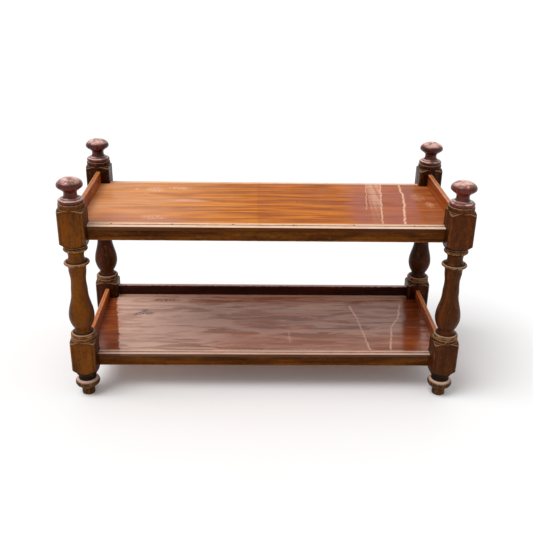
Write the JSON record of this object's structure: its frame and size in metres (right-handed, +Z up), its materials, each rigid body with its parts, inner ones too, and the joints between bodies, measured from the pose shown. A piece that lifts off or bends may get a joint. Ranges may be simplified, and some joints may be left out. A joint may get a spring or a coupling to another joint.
{
  "type": "buffet table",
  "caption": "Two-tier buffet table with turned posts, mushroom finials, an upper board and a lower shelf between raised side rails.",
  "frame": {"origin": "on the floor, under the middle of the table", "axes": "+X to the right end, +Y to the back, +Z up; the open front of the shelf faces -Y"},
  "size_m": [1.215, 0.508, 0.723],
  "materials": {
    "post_wood": "old brown varnish, faded to gold on the front faces, worn on the arrises",
    "finial_wood": "red-brown polish, glossy on the domes",
    "board_wood": "polished orange-brown with fine scratches",
    "shelf_wood": "polished red-brown with a dull stain",
    "rail_wood": "dark brown varnish with wide grain",
    "gallery_wood": "orange-brown polish, worn along the top edge",
    "secondary_pine": "unfinished softwood, darkened with age",
    "nail_iron": "plain, under filler",
    "screw_steel": "plain"
  },
  "bodies": {
    "root": {"foot_front_left": "post_wood", "foot_front_right": "post_wood", "foot_back_left": "post_wood", "foot_back_right": "post_wood", "post_front_left": "post_wood", "post_front_right": "post_wood", "post_back_left": "post_wood", "post_back_right": "post_wood", "finial_front_left": "finial_wood", "finial_front_right": "finial_wood", "finial_back_left": "finial_wood", "finial_back_right": "finial_wood", "upper_board": "board_wood", "lower_board": "shelf_wood", "upper_front_rail": "rail_wood", "upper_back_rail": "rail_wood", "upper_left_rail": "gallery_wood", "upper_right_rail": "gallery_wood", "lower_front_rail": "rail_wood", "lower_back_rail": "rail_wood", "lower_left_rail": "gallery_wood", "lower_right_rail": "gallery_wood", "upper_left_batten": "secondary_pine", "upper_right_batten": "secondary_pine", "lower_left_batten": "secondary_pine", "lower_right_batten": "secondary_pine", "lower_back_batten": "secondary_pine", "upper_glue_blocks": "secondary_pine", "lower_glue_blocks": "secondary_pine", "upper_board_nails": "nail_iron", "lower_board_nails": "nail_iron", "upper_batten_screws": "screw_steel", "lower_batten_screws": "screw_steel"}
  },
  "joints": []
}
